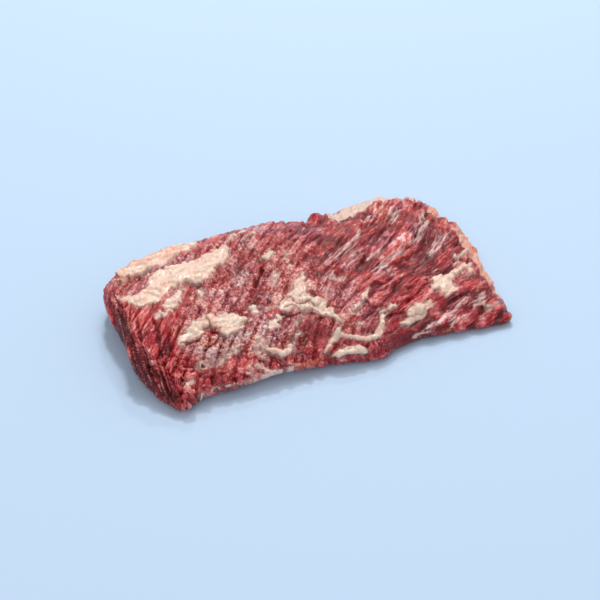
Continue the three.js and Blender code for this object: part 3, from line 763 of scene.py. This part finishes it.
quads = []
index = np.arange(face_count).reshape(n + 1, m + 1)
quads.append(np.stack([index[:-1, :-1], index[1:, :-1], index[1:, 1:], index[:-1, 1:]], -1).reshape(-1, 4))
above = index[border[:, 0], border[:, 1]]
for row in range(len(rows)):
    below = face_count + row * size + np.arange(size)
    quads.append(np.stack([above, below, np.roll(below, -1), np.roll(above, -1)], -1))
    above = below
quads = np.concatenate(quads)

steak_mesh = bpy.data.meshes.new("steak_skin")
steak_mesh.from_pydata(places * MILLIMETRE, [], quads.tolist() + [above[::-1].tolist()])
steak_mesh.update()
outward = np.zeros(len(places) * 3, np.float32)
steak_mesh.vertex_normals.foreach_get("vector", outward)
outward = outward.reshape(-1, 3).astype(float)
places = places + outward * (height * relief_share)[:, None]
places[:, 2] = np.maximum(places[:, 2], 0)

cad_low, cad_high = (np.array(corner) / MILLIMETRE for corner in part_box("steak"))
own_low, own_high = places.min(0), places.max(0)
shift = (cad_low + cad_high - own_low - own_high) / 2
shift[2] = cad_low[2] - own_low[2]
places += shift
steak_mesh.vertices.foreach_set("co", (places * MILLIMETRE).astype(np.float32).ravel())
steak_mesh.polygons.foreach_set("use_smooth", np.ones(len(steak_mesh.polygons), bool))
steak_mesh.update()

# What the material reads at each point. The fibres run down the cut left wall; the paths' borders are
# ragged; torn meat is wetter, brighter red; the left, right and back walls get painted shade, most on the
# cut left wall, and the right is a deeper red; the fringe is bare fat and skin down the right end, where it
# is rind, and along the back right flank
GAP_REACH = 5
along, across = grain_at(*reading.T)
x, y = spread.T
streaky, left_wall, crumbly, fringe = zones(x, y, depth)
ragged = 1.2 * rough(x / 3, y / 3, SEED["ragged"])
face_threads = np.column_stack([along + WALL_LEAN["break_up"] * depth, across, depth])
leaf_threads = np.column_stack([depth, reading[:, 1], 0 * depth])
wet = smooth_step(1.6, -1.4, nearest_of(WET_RED, x, y) + 0.8 * ragged)
wet = np.maximum(wet, (0.5 + 0.3 * ragged) * smooth_step(1.5, 4.5, depth) * smooth_step(56, 40, y))
# Painted shade down the left, right and back walls, most on the cut left wall, and a deeper red towards the
# right
deep = (0.6 + 0.5 * left_wall) * smooth_step(2, 9, depth) * sheer + 0.3 * smooth_step(20, 70, x - 0.5 * y)
fields = {
    "fat_gap": np.clip(fat_gap, -GAP_REACH, GAP_REACH),
    "hollow": hollow,
    "crease": crease,
    "cracked": smooth_step(20, 8, np.hypot(x - CRACKED_MIDDLE[0], y - CRACKED_MIDDLE[1])),
    "tone": tone,
    "fibre": mix(face_threads, leaf_threads, left_wall[:, None]),
    "strand": np.maximum(np.maximum(streaky * (1 - 0.6 * crumbly), 0.5 * crumbly), left_wall),
    "leaf": left_wall,
    "silver_gap": np.clip(nearest_of(SILVER_AND_SHEEN, x, y), -GAP_REACH, GAP_REACH),
    "frost": smooth_step(3, -3, nearest_of(FROST, x, y) + ragged),
    "smooth": smooth_step(2, -2, nearest_of(SMOOTH, x, y) + ragged),
    "amber": smooth_step(1.5, -1.5, nearest_of(AMBER, x, y) + 0.8 * ragged),
    "wet": np.clip(np.maximum(wet, 0.75 * crumbly + 0.25 * ragged * crumbly), 0, 1),
    "deep": np.clip(deep, 0, 1),
    "fringe": fringe,
    "rind": fringe * smooth_step(88, 98, x),
}
for name, values in fields.items():
    single = values.ndim == 1
    field = steak_mesh.attributes.new(name, "FLOAT" if single else "FLOAT_VECTOR", "POINT")
    field.data.foreach_set("value" if single else "vector", values.astype(np.float32).ravel())


class Shade:
    """One output in a material's node tree. Sums and products of shades add Math nodes."""

    def __init__(self, tree, socket):
        self.tree = tree
        self.socket = socket

    def node(self, kind, settings=None, sockets=None, out=0):
        """Adds a node of a kind, sets its settings, then its sockets from numbers, colours or shades."""
        made = self.tree.nodes.new(kind)
        for name, value in (settings or {}).items():
            if name == "stops":
                ramp = made.color_ramp
                while len(ramp.elements) < len(value):
                    ramp.elements.new(0.5)
                for element, (place, colour) in zip(ramp.elements, value):
                    element.position = place
                    element.color = colour
            else:
                setattr(made, name, value)
        for name, value in (sockets or {}).items():
            if isinstance(value, Shade):
                self.tree.links.new(value.socket, made.inputs[name])
            else:
                made.inputs[name].default_value = value
        return Shade(self.tree, made.outputs[out])

    def maths(self, operation, first, second):
        return self.node("ShaderNodeMath", {"operation": operation}, {0: first, 1: second})

    def __add__(self, other):
        return self.maths("ADD", self, other)

    def __sub__(self, other):
        return self.maths("SUBTRACT", self, other)

    def __rsub__(self, other):
        return self.maths("SUBTRACT", other, self)

    def __mul__(self, other):
        return self.maths("MULTIPLY", self, other)

    __radd__ = __add__
    __rmul__ = __mul__

    def between(self, low, high):
        """0 to 1 as this goes from low to high, eased."""
        return self.node(
            "ShaderNodeMapRange",
            {"interpolation_type": "SMOOTHSTEP"},
            {"Value": self, "From Min": low, "From Max": high},
        )

    def near_half(self, low, high):
        """1 where this is less than low away from a half and 0 where it is more than high away, eased."""
        return 1 - self.maths("ABSOLUTE", self - 0.5, 0.0).between(low, high)

    def field(self, name, out="Fac"):
        return self.node("ShaderNodeAttribute", {"attribute_name": name}, out=out)

    def stretch(self, factors):
        return self.node("ShaderNodeVectorMath", {"operation": "MULTIPLY"}, {0: self, 1: factors})

    def jitter(self, scale, reach):
        """This place moved by a noise of its own, so that no pattern read there has a straight border."""
        shake = self.node("ShaderNodeTexNoise", {}, {"Vector": self, "Scale": scale, "Detail": 2.0}, out=1)
        moved = {0: shake, 1: (reach,) * 3, 2: self}
        return self.node("ShaderNodeVectorMath", {"operation": "MULTIPLY_ADD"}, moved)

    def noise(self, scale, detail=2.0, roughness=0.5):
        waves = {"Vector": self, "Scale": scale, "Detail": detail, "Roughness": roughness}
        return self.node("ShaderNodeTexNoise", {}, waves)

    def cells(self, scale):
        """Distance to the centre of the cell that this place is in, and the cell's own value."""
        near = self.node("ShaderNodeTexVoronoi", {}, {"Vector": self, "Scale": scale})
        return near, Shade(self.tree, near.socket.node.outputs["Color"])

    def ramp(self, stops):
        """A colour for each height of this value, from a list of (value, colour)."""
        return self.node("ShaderNodeValToRGB", {"stops": stops}, {"Fac": self})

    def over(self, under, share):
        """This colour over another by a share."""
        return self.node("ShaderNodeMix", {"data_type": "RGBA"}, {0: share, 6: under, 7: self}, out=2)

    def under(self, *layers):
        """This colour with others laid over it in turn, each by its share."""
        top = self
        for layer, share in layers:
            top = layer.over(top, share)
        return top


def colour(red, green, blue):
    """A screen colour from 0 to 255 in light: ((c + 0.055) / 1.055) to the power 2.4."""
    light = [((c / 255 + 0.055) / 1.055) ** 2.4 for c in (red, green, blue)]
    return (*light, 1.0)


# From painted shade at the bottom of the grooves, through the muscle's own tones, to a near-white painted
# highlight on the tops of the grains, at these heights of the pattern
HEIGHTS = (0.1, 0.33, 0.5, 0.68, 0.92)
MUSCLE = {
    "granular": ((108, 8, 12), (154, 34, 38), (196, 76, 76), (230, 140, 132), (252, 220, 208)),
    "stringy": ((116, 4, 12), (162, 16, 26), (200, 52, 58), (228, 120, 118), (252, 216, 208)),
    "torn": ((122, 4, 14), (162, 14, 30), (196, 32, 48), (228, 104, 102), (254, 214, 202)),
    "frosted": ((110, 28, 34), (162, 82, 86), (206, 146, 144), (232, 194, 188), (250, 232, 224)),
    "veiled": ((94, 8, 28), (138, 40, 60), (178, 90, 104), (214, 152, 158), (250, 228, 228)),
    "browned": ((100, 12, 6), (150, 42, 32), (190, 84, 66), (222, 146, 120), (252, 226, 204)),
    "smooth": ((106, 6, 20), (130, 20, 34), (150, 38, 50), (174, 74, 82), (216, 150, 150)),
}
# Dark is painted shade on the floors of the grooves; film the thin membrane, and also a painted highlight
# on the rims of the grooves; silver the silvery skin, and also a painted sheen along the ridges; rind the fat
# that has dried; amber an orange tint along the back left flap and some other thin edges; and pit the cracks
# and pores of the fat, and also painted shade in its creases
COLOURS = {
    "painted_shade": colour(66, 6, 12),
    "silver_and_sheen": colour(252, 224, 216),
    "film_and_highlight": colour(232, 196, 186),
    "fat": colour(247, 222, 202),
    "fat_pink": colour(241, 192, 176),
    "fat_thin": colour(221, 168, 158),
    "pale_fat": colour(244, 222, 208),
    "rind": colour(244, 160, 124),
    "amber": colour(232, 118, 84),
    "pit_and_shade": colour(146, 92, 80),
}

# Waves or cells of each pattern in a metre, and of the threads in a millimetre across them
PER_METRE = {
    "grains": 620.0, "grain borders": 420.0, "grain noise": 330.0, "grain noise borders": 300.0,
    "broad": 75.0, "speck": 900.0, "veil": 42.0, "pink": 70.0, "veins": 110.0, "crackle": 270.0,
    "pores": 520.0, "fringe": 140.0, "rind": 170.0, "torn rind": 120.0,
}
PER_MILLIMETRE = {"threads": 0.72, "thread borders": 0.5, "thread noise": 0.62, "seams": 0.22, "silver_and_sheen": 0.85}

finish = bpy.data.materials.new("wet_raw_beef")
finish.use_nodes = True
tree = finish.node_tree
tree.nodes.clear()
output = tree.nodes.new("ShaderNodeOutputMaterial")
start = Shade(tree, None)
paint = {}
for name, value in COLOURS.items():
    node = tree.nodes.new("ShaderNodeRGB")
    node.outputs[0].default_value = value
    paint[name] = Shade(tree, node.outputs[0])

place = start.node("ShaderNodeTexCoord", out="Object")
fibre = start.field("fibre", "Vector")
strand, leaf, recess_shade_field = start.field("strand"), start.field("leaf"), start.field("hollow")
wet_field, wall_shade_and_dark_right_field, smooth_field = start.field("wet"), start.field("deep"), start.field("smooth")
frost_field, amber_field, rind_field = start.field("frost"), start.field("amber"), start.field("rind")

# Grains on the left, long threads on the right: a cell pattern and a broken noise, one blended into the other
grain_near, grain_own = place.jitter(PER_METRE["grain borders"], 0.0016).cells(PER_METRE["grains"])
thread_place = fibre.stretch((0.24, 1.0, 0.6)).jitter(PER_MILLIMETRE["thread borders"], 0.7)
thread_near, thread_own = thread_place.cells(PER_MILLIMETRE["threads"])
grain_noise = place.jitter(PER_METRE["grain noise borders"], 0.002).noise(PER_METRE["grain noise"], 5.0, 0.72)
thread_noise = fibre.stretch((0.2, 1.0, 0.5)).noise(PER_MILLIMETRE["thread noise"], 6.0, 0.68)
near = grain_near + (thread_near - grain_near) * strand
own = grain_own + (thread_own - grain_own) * strand
broken = grain_noise + (thread_noise - grain_noise) * strand
broad = place.noise(PER_METRE["broad"], 3.0, 0.55)
speck = place.noise(PER_METRE["speck"], 2.0, 0.6)

# The height of the pattern picks the colour of the muscle: flatter where it is smooth or wet, with painted
# shade in the grooves and down the walls, and a deeper red towards the right
fine = (broken - 0.5) * 1.4 + (own - 0.5) * 0.34 + (0.42 - near) * 0.4
fine = fine + (speck - 0.5) * (0.9 - wet_field * 0.5)
fine = fine * (1 - smooth_field * 0.6) * (1 - wet_field * 0.45) * (1 - strand * 0.1)
pattern = 0.56 + fine + (broad - 0.5) * 1.05 + start.field("tone") * (0.42 + wet_field * 0.3)
pattern = pattern - recess_shade_field * 0.34 - wall_shade_and_dark_right_field * 0.28
muscle = {}
for name, tones in MUSCLE.items():
    muscle[name] = pattern.ramp([(height, colour(*tone)) for height, tone in zip(HEIGHTS, tones)])

# Over the muscle lie a mauve veil, browned, frosted, smooth and torn places, pale seams of connective
# tissue between the threads, painted shade on the floors of the grooves and a painted highlight on their
# rims, and the silvery skin, painted bright enough to stand for the sheen along the ridges too, which frays
# at its edge and thins out into threads
veil = place.noise(PER_METRE["veil"], 3.0, 0.6)
seam = fibre.stretch((0.1, 1.0, 0.4)).noise(PER_MILLIMETRE["seams"], 3.0, 0.6).near_half(0.004, 0.022)
# Pale rims along the edges of the grooves: a painted highlight, in the colour of the film
painted_rim_highlight = recess_shade_field.between(0.04, 0.14) * (1 - recess_shade_field.between(0.2, 0.4)) * (leaf + wet_field * 0.9)
silver_and_sheen_threads = fibre.stretch((0.12, 1.0, 0.5)).noise(PER_MILLIMETRE["silver_and_sheen"], 4.0, 0.66)
silver_gap = start.field("silver_gap") + (silver_and_sheen_threads - 0.5) * 15.0 + (speck - 0.5) * 3.0
silver_skin_and_sheen = paint["silver_and_sheen"].over(muscle["frosted"], silver_and_sheen_threads.between(0.66, 0.4) * 0.68)
muscle_colour = muscle["granular"].under(
    (muscle["stringy"], strand),
    (muscle["veiled"], veil.between(0.5, 0.66) * (0.75 - wet_field * 0.6)),
    (muscle["browned"], (1 - veil.between(0.34, 0.46)) * (0.6 - wet_field * 0.4)),
    (muscle["frosted"], frost_field * (0.4 + broken * 1.0)),
    (muscle["smooth"], smooth_field * 0.8),
    (muscle["torn"], wet_field * (1.4 - broad * 0.9)),
    (paint["amber"], amber_field * broken.between(0.36, 0.56) * 0.8),
    (paint["film_and_highlight"], seam * (broad * 1.6 - 0.45) * (1 - recess_shade_field) * 0.8),
    (paint["painted_shade"], recess_shade_field.between(0.5, 1.0) * 0.55),
    (paint["film_and_highlight"], painted_rim_highlight * broken.between(0.45, 0.6) * 0.4),
    (silver_skin_and_sheen, (1 - silver_gap.between(-1.6, 1.0)) * 0.9),
)

# Cream fat, pink in patches, thinner at its edge, with fine veins and cracks, orange in places along thin
# edges, with pores, and with painted shade in its creases
fat_field = start.field("fat_gap") + (grain_noise - 0.5) * 2.8
vein = place.noise(PER_METRE["veins"], 3.0, 0.55).near_half(0.002, 0.012)
crackle = place.noise(PER_METRE["crackle"], 3.0, 0.6).near_half(0.006, 0.036)
fat_colour = paint["fat"].under(
    (paint["fat_pink"], place.noise(PER_METRE["pink"], 3.0, 0.55).between(0.35, 0.72) * 0.75),
    (paint["fat_thin"], (fat_field + (broad - 0.5) * 3.0).between(-1.3, 0.2) * 0.6),
    (paint["fat_thin"], vein * 0.3),
    (paint["pit_and_shade"], crackle * (0.06 + start.field("cracked") * 0.36)),
    (paint["rind"], amber_field * broad.between(0.3, 0.5) * 0.85),
    (paint["pit_and_shade"], place.noise(PER_METRE["pores"], 1.0).between(0.7, 0.8) * 0.35),
    (paint["pit_and_shade"], start.field("crease").between(0.2, 1.0) * 0.85),
)

# The fringe is pale fat, orange where it is rind, with torn muscle showing through it in places
rind_patches = place.noise(PER_METRE["rind"], 3.0).between(0.42, 0.56)
rind_tears = place.noise(PER_METRE["torn rind"], 3.0).between(0.56, 0.66)
fringe_colour = fat_colour.under(
    (paint["pale_fat"], (0.9 - rind_field) * (1.1 - broad)),
    (paint["rind"], rind_patches * rind_field * 0.8),
    (muscle["torn"], rind_tears * (0.25 + rind_field * 0.45)),
)

# On the muscle lie a thin film that spreads from the fat, the fringe, and the fat itself
fringe_edge = (place.noise(PER_METRE["fringe"], 3.0) - 0.5) * 0.9
fat_share = 1 - fat_field.between(-0.3, 0.3)
skin = muscle_colour.under(
    (paint["film_and_highlight"], (1 - (fat_field + (broken - 0.5) * 9.0).between(-0.5, 1.8)) * (0.65 - wet_field * 0.45)),
    (fringe_colour, (start.field("fringe") + fringe_edge).between(0.35, 0.6)),
    (fat_colour, fat_share),
)

# The pattern stands up from bare muscle; fat is smooth, and a thin clear wet coat lies over it all
bare = 1 - fat_share * 0.94
bump_height = broken * 1.1 + own * 0.26 - near * 0.5 + speck * 0.9
bump_height = bump_height * bare * (1 - smooth_field * 0.75) * (1 - wet_field * 0.6) * (1 - strand * 0.3)
bump = start.node("ShaderNodeBump", {}, {"Strength": 1.0, "Distance": 0.0008, "Height": bump_height})
surface = start.node(
    "ShaderNodeBsdfPrincipled",
    {"subsurface_method": "RANDOM_WALK"},
    {
        "Base Color": skin,
        "Roughness": 0.02 + broad * 0.3 + fat_share * 0.1,
        "Normal": bump,
        "IOR": 1.36,
        "Specular IOR Level": 0.5,
        "Subsurface Weight": 0.22,
        "Subsurface Radius": (1.0, 0.2, 0.15),
        "Subsurface Scale": 0.0015,
        "Coat Weight": 0.55 - wall_shade_and_dark_right_field * 0.3,
        "Coat Roughness": 0.07,
        "Coat IOR": 1.33,
    },
)

tree.links.new(surface.socket, output.inputs["Surface"])
steak_mesh.materials.append(finish)

steak = bpy.data.objects.new("raw_steak", steak_mesh)
bpy.context.scene.collection.objects.link(steak)
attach(steak, "root")
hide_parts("steak")

# The table
# A plain pale surface, matt, much wider than the view, a fifth of a millimetre under the sole.

TABLE_SIZE = 6.0
TABLE_TOP = -0.0002
TABLE_COLOUR = (194, 217, 242)
table_mesh = bpy.data.meshes.new("table_top")
half = TABLE_SIZE / 2
table_corners = [(-half, -half, 0), (half, -half, 0), (half, half, 0), (-half, half, 0)]
table_mesh.from_pydata(table_corners, [], [(0, 1, 2, 3)])
stone = bpy.data.materials.new("pale_stone")
stone.use_nodes = True
stone_surface = stone.node_tree.nodes["Principled BSDF"]
stone_surface.inputs["Base Color"].default_value = colour(*TABLE_COLOUR)
stone_surface.inputs["Roughness"].default_value = 0.7
stone_surface.inputs["Specular IOR Level"].default_value = 0.15
table_mesh.materials.append(stone)
table = bpy.data.objects.new("table", table_mesh)
bpy.context.scene.collection.objects.link(table)
table.location.z = TABLE_TOP

# The light
# Plain studio light: a wide key above, a small bright spark behind it, a small strip lower at the back
# right, a wide weak fill from the front left, and even light from the room.

LIGHTS = {
    "key": {"towards": (0.28, 0.3, 1.0), "distance": 2.2, "size": (0.7, 0.6), "watts": 9},
    "spark": {"towards": (0.2, 0.62, 1.0), "distance": 2.2, "size": (0.22, 0.18), "watts": 15},
    "back_strip": {"towards": (0.4, 0.9, 0.9), "distance": 2.4, "size": (0.2, 0.12), "watts": 6},
    "front_fill": {"towards": (-0.5, -0.75, 0.7), "distance": 2.4, "size": (1.4, 1.0), "watts": 4},
}
ROOM_STRENGTH = 0.57
for name, light in LIGHTS.items():
    lamp = bpy.data.lights.new(name, "AREA")
    lamp.shape = "RECTANGLE"
    lamp.size, lamp.size_y = light["size"]
    lamp.energy = light["watts"]
    lamp_object = bpy.data.objects.new(name, lamp)
    direction = Vector(light["towards"]).normalized()
    lamp_object.location = direction * light["distance"]
    lamp_object.rotation_euler = direction.to_track_quat("Z", "Y").to_euler()
    bpy.context.scene.collection.objects.link(lamp_object)
room = bpy.data.worlds.new("room")
room.use_nodes = True
room_light = room.node_tree.nodes["Background"]
room_light.inputs["Color"].default_value = (1.0, 1.0, 1.0, 1.0)
room_light.inputs["Strength"].default_value = ROOM_STRENGTH
bpy.context.scene.world = room
bpy.context.scene.view_settings.view_transform = "Standard"

# The camera
# Seen from the front, a little to the left, 40 degrees above the table, through a long lens.

CAMERA_AZIMUTH = -22
CAMERA_ELEVATION = 40
CAMERA_LENS = 78
CAMERA_SENSOR = 36
CAMERA_DISTANCE = 734.5
LOOKED_AT = (0, 0, 10)
OFF_CENTRE = 1.7

turn, rise = math.radians(CAMERA_AZIMUTH), math.radians(CAMERA_ELEVATION)
backwards = Vector((math.sin(turn) * math.cos(rise), -math.cos(turn) * math.cos(rise), math.sin(rise)))
rightwards = Vector((math.cos(turn), math.sin(turn), 0))
lens = bpy.data.cameras.new("camera")
lens.lens = CAMERA_LENS
lens.sensor_width = CAMERA_SENSOR
camera = bpy.data.objects.new("camera", lens)
target = Vector(LOOKED_AT) + Vector(shift)
camera.location = (target + backwards * CAMERA_DISTANCE - rightwards * OFF_CENTRE) * MILLIMETRE
camera.rotation_euler = backwards.to_track_quat("Z", "Y").to_euler()
bpy.context.scene.collection.objects.link(camera)
bpy.context.scene.camera = camera
